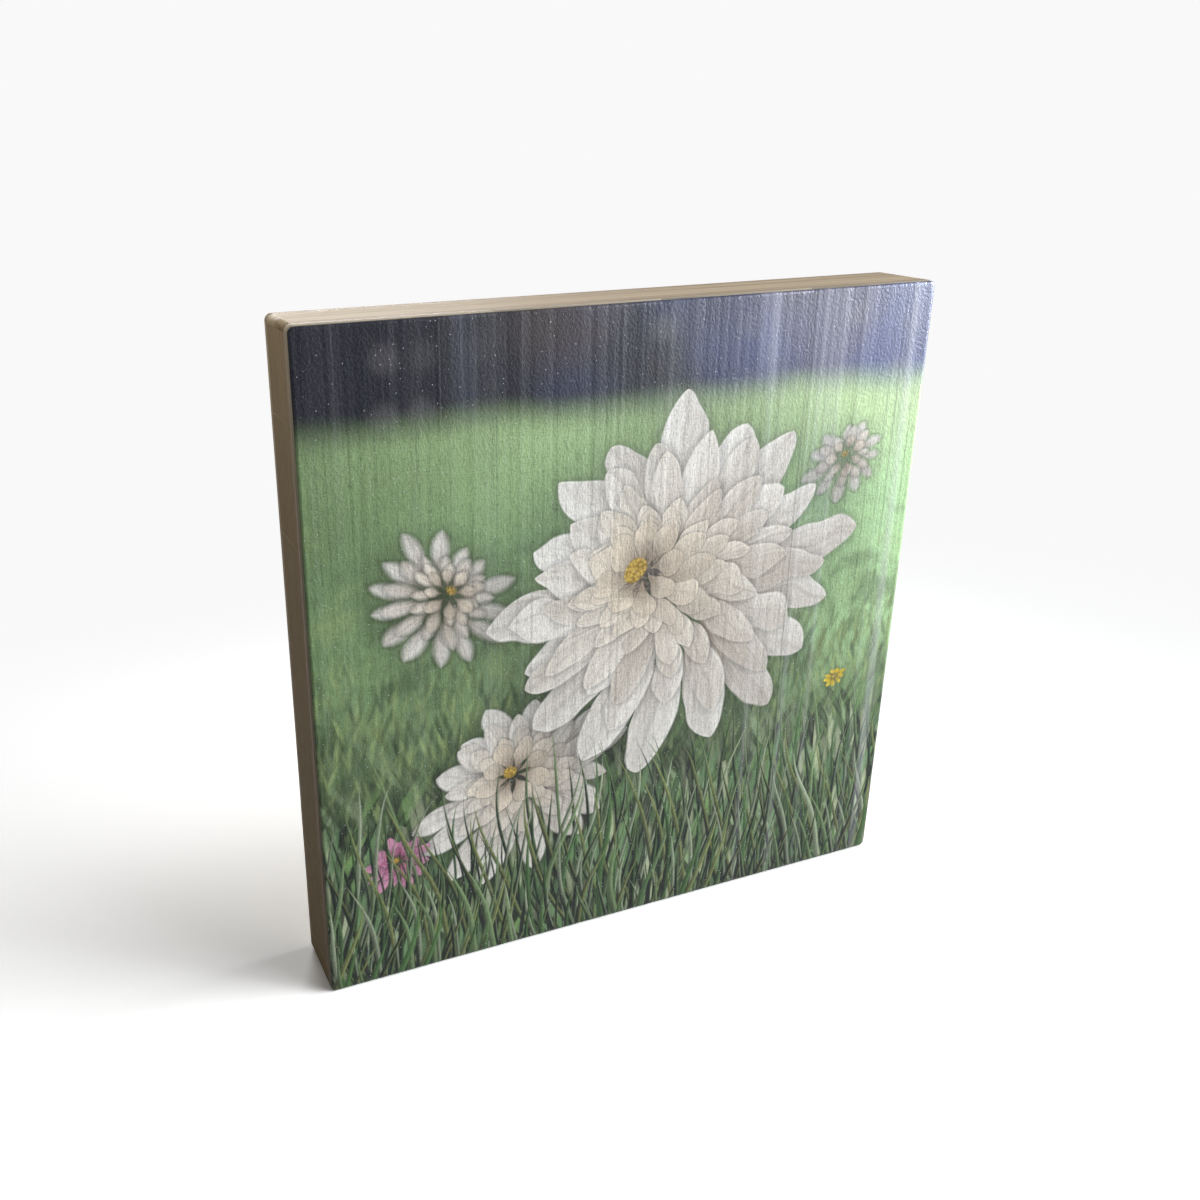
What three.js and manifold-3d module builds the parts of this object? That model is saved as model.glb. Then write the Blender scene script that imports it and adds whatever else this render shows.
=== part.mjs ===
// Wooden photo block: a small square board that stands on its edge, with a picture printed on its front.
// The board is a core of solid strips, edge-glued, with a spliced veneer glued across them on both faces.
// Millimetres. +Z is up, the picture faces -Y, and the origin is the middle of the base.

import * as THREE from "three";
import { mergeVertices } from "three/addons/utils/BufferGeometryUtils.js";
import Module from "manifold-3d";

// The sawn block, seen from the front
const WIDTH = 152.4;
const HEIGHT = 152.4;
const CORNER_RADIUS = 1.5;

// The layers, from front to back
const TOPCOAT = 0.08;
const INK = 0.06;
const BASE_COAT = 0.08;
const FRONT_VENEER = 1.8;
const GLUE_LINE = 0.4;
const CORE = 13.7;
const BACK_VENEER = 1.8;

// Sanded edges round the two faces of the wood
const FRONT_EASE = 0.9;
const BACK_EASE = 0.6;

// How far each film runs round the front edge, in degrees from the face: ink stops short of its base coat
const BASE_COAT_WRAP = 50;
const INK_WRAP = 40;
const TOPCOAT_WRAP = 30;

// Core strips run along X and are stacked from the base up, cut from a wider panel
const CORE_STRIP = 25.4;
const LOWEST_STRIP = 6;

// Veneer leaves run along Z and are spliced side by side, cut from a wider sheet
const VENEER_LEAF = 38.1;
const FIRST_LEAF = 42.1;

// The saw leaves no strip or leaf narrower than this
const LEAST_PIECE = 3;

// Facets: points round each corner, and degrees from one to the next round a sanded edge
const CORNER_STEPS = 6;
const EASE_STEP = 10;
const LEAST_RADIUS = 0.05;

// Front planes of the layers, counted back from the front of the block
const INK_FRONT = TOPCOAT;
const BASE_COAT_FRONT = INK_FRONT + INK;
const VENEER_FRONT = BASE_COAT_FRONT + BASE_COAT;
const FRONT_GLUE_FRONT = VENEER_FRONT + FRONT_VENEER;
const CORE_FRONT = FRONT_GLUE_FRONT + GLUE_LINE;
const BACK_GLUE_FRONT = CORE_FRONT + CORE;
const BACK_VENEER_FRONT = BACK_GLUE_FRONT + GLUE_LINE;
const THICKNESS = BACK_VENEER_FRONT + BACK_VENEER;

const wasm = await Module();
wasm.setup();

// The block's outline drawn in by inset, as [x, z] points, clockwise seen from the front.
function outline(inset) {
  const radius = Math.max(CORNER_RADIUS - inset, LEAST_RADIUS);
  const x = WIDTH / 2 - inset - radius;
  const z = HEIGHT / 2 - inset - radius;
  const points = [];
  for (const [signX, signZ, turn] of [[1, 1, 0], [1, -1, 1], [-1, -1, 2], [-1, 1, 3]]) {
    for (let step = 0; step <= CORNER_STEPS; step++) {
      const angle = ((1 - turn - step / CORNER_STEPS) * Math.PI) / 2;
      points.push([signX * x + radius * Math.cos(angle), signZ * z + radius * Math.sin(angle)]);
    }
  }
  return points;
}

// A closed solid through one outline for each [inset, y] of the profile, with a flat end at its first and last.
function loft(profile) {
  const rings = profile.map(([inset, y]) => outline(inset).map(([x, z]) => [x, y, z]));
  const count = rings[0].length;
  const last = (rings.length - 1) * count;
  const index = [];
  for (let i = 1; i < count - 1; i++) {
    index.push(0, i + 1, i);
    index.push(last, last + i, last + i + 1);
  }
  for (let ring = 0; ring < rings.length - 1; ring++) {
    for (let i = 0; i < count; i++) {
      const a = ring * count + i;
      const b = ring * count + ((i + 1) % count);
      index.push(a, b, a + count);
      index.push(b, b + count, a + count);
    }
  }
  const geometry = new THREE.BufferGeometry();
  geometry.setAttribute("position", new THREE.Float32BufferAttribute(rings.flat(2), 3));
  geometry.setIndex(index);
  return geometry;
}

// A profile point on a sanded edge, at an angle from the face. Whole steps lie on the round, and an angle
// between two steps lies on the facet that joins them, so layers that wrap different ways share their facets.
function easePoint(centreInset, centreY, radius, angle) {
  const step = Math.floor(angle / EASE_STEP);
  const share = angle / EASE_STEP - step;
  const [from, to] = [step, step + 1].map((n) => THREE.MathUtils.degToRad(n * EASE_STEP));
  const across = Math.sin(from) * (1 - share) + Math.sin(to) * share;
  const forward = Math.cos(from) * (1 - share) + Math.cos(to) * share;
  return [centreInset - radius * across, centreY - radius * forward];
}

// Profile points round a sanded edge from one angle to a larger one.
function easeArc(centreInset, centreY, radius, from, to) {
  const angles = [from];
  for (let n = Math.floor(from / EASE_STEP) + 1; n * EASE_STEP < to; n++) angles.push(n * EASE_STEP);
  angles.push(to);
  return angles.map((angle) => easePoint(centreInset, centreY, radius, angle));
}

// A flat layer with square edges.
function sheet(front, thickness) {
  return loft([[0, front], [0, front + thickness]]);
}

// The whole front veneer, sanded round its front edge.
function frontVeneer() {
  const ease = Math.min(FRONT_EASE, FRONT_VENEER - LEAST_RADIUS);
  const round = easeArc(ease, VENEER_FRONT + ease, ease, 0, 90);
  return loft([...round, [0, VENEER_FRONT + FRONT_VENEER]]);
}

// The whole back veneer, sanded round its back edge.
function backVeneer() {
  const ease = Math.min(BACK_EASE, BACK_VENEER - LEAST_RADIUS);
  const round = easeArc(ease, THICKNESS - ease, ease, 90, 180);
  return loft([[0, BACK_VENEER_FRONT], ...round]);
}

// A film that covers the face below it and wraps part of the way round the sanded edge, then stops square.
function film(front, thickness, wrap) {
  const ease = Math.min(FRONT_EASE, FRONT_VENEER - LEAST_RADIUS);
  const centreY = VENEER_FRONT + ease;
  const outer = easeArc(ease, centreY, centreY - front, 0, wrap);
  const inner = easeArc(ease, centreY, centreY - front - thickness, 0, wrap).reverse();
  return loft([...outer, ...inner]);
}

function toManifold(geometry) {
  const bare = geometry.clone();
  bare.deleteAttribute("normal");
  bare.deleteAttribute("uv");
  const merged = mergeVertices(bare, 1e-5);
  return new wasm.Manifold(
    new wasm.Mesh({
      numProp: 3,
      vertProperties: merged.attributes.position.array,
      triVerts: new Uint32Array(merged.index.array),
    }),
  );
}

function toGeometry(solid) {
  const mesh = solid.getMesh();
  const geometry = new THREE.BufferGeometry();
  geometry.setAttribute("position", new THREE.BufferAttribute(mesh.vertProperties, 3));
  geometry.setIndex(new THREE.BufferAttribute(mesh.triVerts, 1));
  return geometry;
}

// The part of a layer between two saw cuts along an axis, "x" or "z".
function between(layer, axis, from, to) {
  const reach = 2 * Math.max(WIDTH, HEIGHT, THICKNESS);
  const size = { x: reach, y: reach, z: reach, [axis]: to - from };
  const centre = { x: 0, y: 0, z: 0, [axis]: (from + to) / 2 };
  const slice = new THREE.BoxGeometry(size.x, size.y, size.z);
  slice.translate(centre.x, centre.y, centre.z);
  return toGeometry(toManifold(layer).intersect(toManifold(slice)));
}

// Spans from -length / 2 to length / 2, cut after first and then every pitch, with no sliver at the end.
function spans(length, first, pitch) {
  const cuts = [0];
  for (let cut = first; cut <= length - LEAST_PIECE; cut += pitch) cuts.push(cut);
  cuts.push(length);
  return cuts.slice(1).map((cut, i) => [cuts[i] - length / 2, cut - length / 2]);
}

function part(name, geometry, color, roughness) {
  const flat = geometry.index ? geometry.toNonIndexed() : geometry;
  flat.computeVertexNormals();
  const mesh = new THREE.Mesh(flat, new THREE.MeshStandardMaterial({ color, roughness, metalness: 0 }));
  mesh.name = name;
  return mesh;
}

function makePrint() {
  const print = new THREE.Group();
  print.add(
    part("clear_topcoat", film(0, TOPCOAT, TOPCOAT_WRAP), 0xeef0ee, 0.35),
    part("printed_picture", film(INK_FRONT, INK, INK_WRAP), 0x6f8a5c, 0.5),
    part("white_base_coat", film(BASE_COAT_FRONT, BASE_COAT, BASE_COAT_WRAP), 0xc9c7bf, 0.5),
  );
  return print;
}

function makeVeneers() {
  const veneers = new THREE.Group();
  spans(WIDTH, FIRST_LEAF, VENEER_LEAF).forEach(([from, to], i) => {
    veneers.add(part(`front_veneer_leaf_${i + 1}`, between(frontVeneer(), "x", from, to), 0xc6bcaa, 0.6));
    veneers.add(part(`back_veneer_leaf_${i + 1}`, between(backVeneer(), "x", -to, -from), 0xc2ae90, 0.65));
  });
  return veneers;
}

function makeGlueLines() {
  const glue = new THREE.Group();
  glue.add(
    part("front_glue_line", sheet(FRONT_GLUE_FRONT, GLUE_LINE), 0x5a4330, 0.7),
    part("back_glue_line", sheet(BACK_GLUE_FRONT, GLUE_LINE), 0x6e553d, 0.7),
  );
  return glue;
}

function makeCore() {
  const core = new THREE.Group();
  const layer = sheet(CORE_FRONT, CORE);
  spans(HEIGHT, LOWEST_STRIP, CORE_STRIP).forEach(([from, to], i) => {
    core.add(part(`core_strip_${i + 1}`, between(layer, "z", from, to), 0xc0ad8f, 0.65));
  });
  return core;
}

const block = new THREE.Group();
block.name = "photo_block";
block.add(makePrint(), makeVeneers(), makeGlueLines(), makeCore());
block.position.set(0, -THICKNESS / 2, HEIGHT / 2);

const model = new THREE.Group();
model.add(block);

export default model;
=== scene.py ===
"""Looks of the wooden photo block.

A square board stands on its lower edge. Its core is edge-glued from strips, a spliced veneer covers both
faces, and a garden picture is printed on the front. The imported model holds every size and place.
"""

import logging
import math
from contextlib import contextmanager
from dataclasses import asdict, dataclass
from enum import Enum
from typing import Callable, Dict, Iterator, List, Optional, Sequence, Tuple, Union

import bmesh
import bpy
from bpy.types import Material, Node, NodeSocket, NodeTree, Object, World
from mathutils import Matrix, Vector


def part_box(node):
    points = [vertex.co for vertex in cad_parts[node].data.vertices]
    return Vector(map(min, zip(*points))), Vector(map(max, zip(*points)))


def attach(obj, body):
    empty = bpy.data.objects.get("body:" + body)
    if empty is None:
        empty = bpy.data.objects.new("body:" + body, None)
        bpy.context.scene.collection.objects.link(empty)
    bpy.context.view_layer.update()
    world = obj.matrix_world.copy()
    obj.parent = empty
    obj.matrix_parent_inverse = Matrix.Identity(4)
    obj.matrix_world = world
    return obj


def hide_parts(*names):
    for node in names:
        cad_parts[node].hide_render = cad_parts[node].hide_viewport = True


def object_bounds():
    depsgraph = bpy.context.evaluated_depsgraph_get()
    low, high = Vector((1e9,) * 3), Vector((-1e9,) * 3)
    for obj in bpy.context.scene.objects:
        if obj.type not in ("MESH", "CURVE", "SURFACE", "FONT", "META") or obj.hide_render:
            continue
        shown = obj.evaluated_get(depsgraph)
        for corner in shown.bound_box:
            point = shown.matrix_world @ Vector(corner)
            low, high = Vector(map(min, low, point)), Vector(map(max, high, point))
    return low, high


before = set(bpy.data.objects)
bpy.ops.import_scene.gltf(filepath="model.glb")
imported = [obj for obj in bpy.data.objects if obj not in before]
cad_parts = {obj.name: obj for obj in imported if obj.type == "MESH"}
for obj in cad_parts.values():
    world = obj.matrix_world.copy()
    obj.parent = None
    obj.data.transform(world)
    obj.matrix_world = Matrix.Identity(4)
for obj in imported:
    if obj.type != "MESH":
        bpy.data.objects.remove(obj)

CAD_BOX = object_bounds()
BODY = "root"
MM = 0.001
UPRIGHT = -math.pi / 2
FULL_TURN = 2 * math.pi
SEED_SPREAD, SEED_SLIDE = 57.3, 7.31
LOG = logging.getLogger("photo_block")

Number = Union[float, "Signal"]
Pair = Tuple[float, float]
Triple = Colour = Tuple[float, float, float]
Inputs = Dict[Union[int, str], object]
Test = Callable[[object], bool]
NOUGHTS = (0.0, 0.0, 0.0)


def srgb(red: int, green: int, blue: int) -> Colour:
    """Turns a colour as it is seen on a screen, 0 to 255, into the linear values that shaders use."""
    shares = (channel / 255 for channel in (red, green, blue))
    return tuple(s / 12.92 if s <= 0.04045 else ((s + 0.055) / 1.055) ** 2.4 for s in shares)


def blend(low: Colour, high: Colour, share: float) -> Colour:
    """Mixes two plain colours, and returns the mix."""
    return tuple(a + (b - a) * share for a, b in zip(low, high))


def sum_method(operation: str, last: bool = False) -> Callable[..., "Signal"]:
    """Makes a method that adds a sum to its signal's graph.

    Args:
        operation: Blender's name of the sum.
        last: Whether the signal itself is the last term, and not the first.

    Returns:
        The method, which takes the other terms.
    """
    def method(self: "Signal", *others: Number) -> "Signal":
        """Adds the sum, and returns its result."""
        return self.graph.math(operation, *((*others, self) if last else (self, *others)))
    return method


class Signal:
    """A number or a colour that nodes work out at each point of a surface."""

    def __init__(self, graph: "Graph", socket: NodeSocket) -> None:
        """Wraps an output socket of the graph."""
        self.graph = graph
        self.socket = socket

    __add__ = __radd__ = sum_method("ADD")
    __sub__ = sum_method("SUBTRACT")
    __rsub__ = sum_method("SUBTRACT", last=True)
    __mul__ = __rmul__ = sum_method("MULTIPLY")
    __truediv__ = sum_method("DIVIDE")
    __pow__ = sum_method("POWER")
    __abs__ = sum_method("ABSOLUTE")
    floor = sum_method("FLOOR")
    fraction = sum_method("FRACT")
    most = sum_method("MAXIMUM")

    def step(self, low: Number, high: Number, to_low: Number = 0.0, to_high: Number = 1.0) -> "Signal":
        """Rises smoothly from one value to another as the signal runs from low to high.

        Args:
            low: The signal at which the rise starts. It may be above high.
            high: The signal at which the rise ends.
            to_low: The value at low and beyond.
            to_high: The value at high and beyond.

        Returns:
            The eased value.
        """
        ends = {"Value": self, "From Min": low, "From Max": high, "To Min": to_low, "To Max": to_high}
        return self.graph.add("ShaderNodeMapRange", ends, interpolation_type="SMOOTHSTEP", clamp=False)


class Graph:
    """A node tree that is written as sums of signals."""

    def __init__(self, tree: NodeTree) -> None:
        """Starts to write into a tree."""
        self.tree = tree

    @classmethod
    def start(cls, owner: Union[Material, World]) -> "Graph":
        """Starts an empty node tree on a material or a world."""
        owner.use_nodes = True
        owner.node_tree.nodes.clear()
        return cls(owner.node_tree)

    def node(self, kind: str, inputs: Inputs, **settings: object) -> Node:
        """Adds a node to the tree.

        Args:
            kind: Blender's name of the node.
            inputs: What goes into it, by the input's name or number.
            **settings: The node's options.

        Returns:
            The node.
        """
        made = self.tree.nodes.new(kind)
        for name, value in settings.items():
            setattr(made, name, value)
        for name, value in inputs.items():
            self.feed(made.inputs[name], value)
        return made

    def add(self, kind: str, inputs: Inputs, output: Union[int, str] = 0, **settings: object) -> Signal:
        """Adds a node as node does, and returns the one of its outputs that is named or numbered."""
        return Signal(self, self.node(kind, inputs, **settings).outputs[output])

    def feed(self, socket: NodeSocket, value: object) -> None:
        """Links a signal to an input socket, or sets a plain value or colour on it."""
        if isinstance(value, Signal):
            self.tree.links.new(value.socket, socket)
        elif isinstance(value, tuple) and socket.type == "RGBA":
            socket.default_value = (*value, 1.0)
        else:
            socket.default_value = value

    def math(self, operation: str, *terms: Number) -> Signal:
        """Adds one sum, by Blender's name of it, with its terms in order."""
        return self.add("ShaderNodeMath", dict(enumerate(terms)), operation=operation)

    def coordinates(self) -> Node:
        """The tree's one node of texture coordinates."""
        for made in self.tree.nodes:
            if made.bl_idname == "ShaderNodeTexCoord":
                return made
        return self.node("ShaderNodeTexCoord", {})

    def place(self, scale: Triple, shift: Triple = NOUGHTS, turn: Triple = NOUGHTS) -> Signal:
        """The object's own coordinates, scaled, then turned, then shifted."""
        return self.remap(Signal(self, self.coordinates().outputs["Object"]), scale, shift, turn)

    def remap(self, place: Signal, scale: Triple, shift: Triple, turn: Triple = NOUGHTS) -> Signal:
        """Any place, scaled, then turned, then shifted."""
        inputs = {"Vector": place, "Scale": scale, "Location": shift, "Rotation": turn}
        return self.add("ShaderNodeMapping", inputs)

    def split(self, output: str) -> Tuple[Signal, Signal, Signal]:
        """One of the texture coordinates, such as Object or Normal, as its X, Y and Z."""
        return self.parts("ShaderNodeSeparateXYZ", Signal(self, self.coordinates().outputs[output]))

    def parts(self, kind: str, whole: Signal) -> Tuple[Signal, Signal, Signal]:
        """Takes a place or a colour apart with the kind of node that does it."""
        return tuple(Signal(self, socket) for socket in self.node(kind, {0: whole}).outputs)

    def point(self, *parts: Number) -> Signal:
        """Joins three numbers into a place for a texture."""
        return self.add("ShaderNodeCombineXYZ", dict(enumerate(parts)))

    def mix(self, low: object, high: object, share: Number) -> Signal:
        """Mixes two colours, of which the second has the given share."""
        inputs = {0: share, 6: low, 7: high}
        return self.add("ShaderNodeMix", inputs, 2, data_type="RGBA", blend_type="MIX", clamp_factor=True)

    def noise(self, place: Signal, detail: float = 2.0, roughness: float = 0.5, scale: float = 1.0) -> Signal:
        """Cloudy noise, about 0.5, whose clouds are 1 / scale wide."""
        inputs = {"Vector": place, "Scale": scale, "Detail": detail, "Roughness": roughness}
        return self.add("ShaderNodeTexNoise", inputs, "Fac")

    def cloud(self, scale: Triple, detail: float = 2.0, roughness: float = 0.5,
              turn: Triple = NOUGHTS) -> Signal:
        """Cloudy noise in the object's own coordinates, scaled, then turned."""
        return self.noise(self.place(scale, turn=turn), detail, roughness)

    def streaks(self, along: Signal) -> Signal:
        """Noise about 0.5 that changes along one number only."""
        inputs = {"W": along, "Scale": 1.0, "Detail": 2.0, "Roughness": 0.6}
        return self.add("ShaderNodeTexNoise", inputs, "Fac", noise_dimensions="1D")

    def dice(self, key: Signal) -> Tuple[Signal, Signal, Signal, Signal]:
        """Random numbers from 0 to 1 for each different key, of which the last repeats the first.

        A caller uses all four, because Cycles never frees the ones that aren't used.
        """
        made = self.node("ShaderNodeTexWhiteNoise", {"W": key}, noise_dimensions="1D")
        colour, value = (Signal(self, made.outputs[name]) for name in ("Color", "Value"))
        return (*self.parts("ShaderNodeSeparateColor", colour), value)

    def spots(self, place: Signal, scale: float, jitter: float = 1.0) -> Tuple[Signal, Signal]:
        """Scattered points: the distance to the nearest one, and a random number of its own, about 0 to 1."""
        inputs = {"Vector": place, "Scale": scale, "Randomness": jitter}
        made = self.node("ShaderNodeTexVoronoi", inputs, voronoi_dimensions="2D")
        tone = self.add("ShaderNodeRGBToBW", {0: Signal(self, made.outputs["Color"])})
        return Signal(self, made.outputs["Distance"]), tone * 1.7 - 0.35

    def group(self, tree: NodeTree, **values: object) -> Signal:
        """Uses a node group and returns its first output."""
        return self.add("ShaderNodeGroup", values, node_tree=tree)


def new_group(name: str, numbers: str, colours: str) -> Tuple[Graph, List[Signal]]:
    """Starts a node group that turns numbers and colours into one colour.

    Args:
        name: The group's name.
        numbers: Names of its number inputs, with spaces between them.
        colours: Names of its colour inputs, likewise.

    Returns:
        The graph to write in, and its inputs in order.
    """
    tree = bpy.data.node_groups.new(name, "ShaderNodeTree")
    for names, kind in ((numbers, "NodeSocketFloat"), (colours, "NodeSocketColor")):
        for key in names.split():
            tree.interface.new_socket(key, in_out="INPUT", socket_type=kind)
    tree.interface.new_socket("Colour", in_out="OUTPUT", socket_type="NodeSocketColor")
    graph = Graph(tree)
    entry = graph.node("NodeGroupInput", {})
    return graph, [Signal(graph, entry.outputs[key]) for key in f"{numbers} {colours}".split()]


def close_group(graph: Graph, colour: Signal) -> NodeTree:
    """Gives a started group its output, and returns its tree."""
    graph.node("NodeGroupOutput", {0: colour})
    return graph.tree


@dataclass(frozen=True)
class Surface:
    """What a finish works out at each point. Height is that of its relief, in metres."""

    colour: Signal
    roughness: Signal
    height: Signal


class Finish:
    """A finish that knows how to paint itself and become a material."""

    name: str

    def paint(self, g: Graph) -> Surface:
        """Works out the finish in a graph."""
        raise NotImplementedError

    def constants(self) -> dict:
        """Values that are the same all over, by the shader's own names."""
        return {"Specular IOR Level": 0.5}

    def material(self) -> Material:
        """Makes the material.

        Returns:
            The material, with its colour, roughness and relief from nodes.
        """
        made = bpy.data.materials.new(self.name)
        g = Graph.start(made)
        surface = self.paint(g)
        bump = g.add("ShaderNodeBump", {"Strength": 1.0, "Distance": 1.0, "Height": surface.height})
        inputs = {"Base Color": surface.colour, "Roughness": surface.roughness, "Normal": bump}
        shader = g.add("ShaderNodeBsdfPrincipled", {**inputs, **self.constants()})
        g.node("ShaderNodeOutputMaterial", {"Surface": shader})
        return made


class Grain(Enum):
    """Which way the fibres of a piece run."""

    ACROSS = "x"
    UPRIGHT = "z"


@dataclass(frozen=True)
class Wood(Finish):
    """Bare, sanded wood in strips that lie side by side, with glue that stains it beside the glue lines.

    Lengths are in metres. The heart is where the middle of the tree lies from the middle of each strip, as
    depth and sideways distance. Rings is the distance from one year's ring to the next.
    """

    name: str
    grain: Grain
    pale: Colour
    dark: Colour
    end: Colour
    streak: Colour
    first: float
    pitch: float
    seed: float
    rings: float
    heart: Pair
    glue: Tuple[float, ...]
    roughness: float = 0.68
    wander: float = 9 * MM
    stain: Pair = (1.1 * MM, 0.15 * MM)

    def constants(self) -> dict:
        """A dull surface: bare wood reflects little."""
        return {"Specular IOR Level": 0.12}

    def paint(self, g: Graph) -> Surface:
        """Works out rings, fibres, pores, end grain, sanding marks and glue stains."""
        x, y, z = g.split("Object")
        along, side = (x, z) if self.grain is Grain.ACROSS else (z, x)
        cell = ((side - self.first) / self.pitch).floor()
        tone, shift, lean, again = g.dice(cell + self.seed)
        local = side - (cell + 0.5) * self.pitch - self.first
        key = cell * 3.7 + self.seed
        drift = g.noise(g.point(along * 7.0 + key, y * 26.0, side * 26.0)) - 0.5
        deep = y - self.heart[0] + drift * self.wander
        wide = local - (lean - 0.5) * 2.0 * self.heart[1]
        ring = (g.math("SQRT", deep * deep + wide * wide) + along * (shift - 0.5) * 0.05) / self.rings
        ring = (ring + shift * 9.0).fraction()
        late = ring.step(0.3, 0.93) * ring.step(1.0, 0.95)
        fibre = g.noise(g.point(along * 42.0, y * 1500.0, side * 1500.0), 3.0, 0.6)
        flow = g.noise(g.point(along * 9.0 + key, y * 210.0, side * 210.0), 2.0, 0.55)
        pores = g.noise(g.point(along * 190.0, y * 3600.0, side * 3600.0), 1.0).step(0.63, 0.74)
        shade = late * 0.3 + (fibre - 0.5) * 0.7 + (flow - 0.4) * 1.3 + (tone + again - 1.0) * 0.13 + 0.08
        colour = g.mix(self.pale, self.dark, shade.most(0.0))
        stripe = abs(g.noise(g.point(along * 2.4 + key, y * 95.0, side * 95.0), 1.0) - 0.5)
        colour = g.mix(colour, self.streak, stripe.step(0.05, 0.012) * (fibre * 0.8 + 0.2) * 0.6)
        colour = g.mix(colour, self.dark, pores * 0.4)
        nx, _, nz = g.split("Normal")
        cut = abs(nx if self.grain is Grain.ACROSS else nz).step(0.55, 0.85)
        marks = g.noise(g.point((x + z) * 26.0, y * 1900.0, (x - z) * 26.0), 3.0, 0.6)
        ends = g.mix(self.end, blend(self.end, NOUGHTS, 0.5), (0.56 - marks).most(0.0) * 2.4)
        colour = g.mix(colour, g.mix(colour, ends, 0.85), cut)
        colour = g.mix(colour, self.dark, (marks - 0.5).step(0.0, 0.2) * 0.16)
        soak = g.cloud((240.0, 0.0, 240.0))
        for plane in self.glue:
            stain = abs(y - plane).step(*self.stain) * soak.step(0.3, 0.75, 0.35, 0.8)
            colour = g.mix(colour, srgb(104, 78, 54), stain * 0.55)
        height = fibre * 12e-6 + late * 8e-6 - pores * 16e-6 + marks * 3e-6
        return Surface(colour, fibre * 0.18 + (self.roughness - 0.08), height)


@dataclass(frozen=True)
class Glue(Finish):
    """Set glue with sanding dust in it, along a glue line."""

    name: str
    dark: Colour
    dusty: Colour

    def paint(self, g: Graph) -> Surface:
        """Works out dark glue that dust has lightened here and there."""
        dust = g.cloud((420.0, 900.0, 420.0), 3.0, 0.6)
        run = g.cloud((60.0, 300.0, 60.0))
        share = dust.step(0.42, 0.7) * 0.7 + (run - 0.45)
        return Surface(g.mix(self.dark, self.dusty, share.most(0.0)), dust * 0.3 + 0.4, dust * 25e-6)


@dataclass(frozen=True)
class Primer(Finish):
    """The thin pale ground under the print, rubbed along the sanded edge."""

    name: str
    coat: Colour
    rubbed: Colour

    def paint(self, g: Graph) -> Surface:
        """Works out a pale coat with wood showing through where it is rubbed."""
        rub = g.cloud((160.0, 900.0, 160.0), 3.0, 0.6)
        fine = g.cloud((2200.0, 2200.0, 2200.0))
        colour = g.mix(self.coat, self.rubbed, rub.step(0.48, 0.7) * 0.75)
        return Surface(colour, fine * 0.2 + 0.42, fine * 8e-6 + rub * 8e-6)


@dataclass(frozen=True)
class Turf:
    """One row of grass blades across the picture. Lengths are shares of the picture's width."""

    seed: float
    blades: float
    root: float
    height: float
    lean: float
    width: float
    blur: float
    shade: Colour
    bright: Colour


@dataclass(frozen=True)
class Thatch:
    """A mat of short blades that lie one way, all over a band of the picture.

    Blades and rows count them across and up the picture. The band fades in from one height of the picture to
    another.
    """

    turn: float
    blades: float
    rows: float
    seed: float
    band: Pair
    edge: float
    strength: float
    shade: Colour
    bright: Colour


@dataclass(frozen=True)
class Bloom:
    """A flower head in the picture. Lengths are shares of the picture's width.

    Petals holds the count of each ring of petals, from the outermost in. Each ring is smaller by shrink and
    lies further along lift.
    """

    centre: Pair
    radius: float
    tilt: float
    lift: Pair
    petals: Sequence[int]
    seed: float
    blur: float
    squash: float = 0.85
    shrink: float = 0.7
    heart: float = 0.12
    halo: float = 0.4
    shade: Colour = srgb(146, 128, 108)
    outer: Colour = srgb(252, 250, 244)
    inner: Colour = srgb(244, 230, 208)


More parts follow.
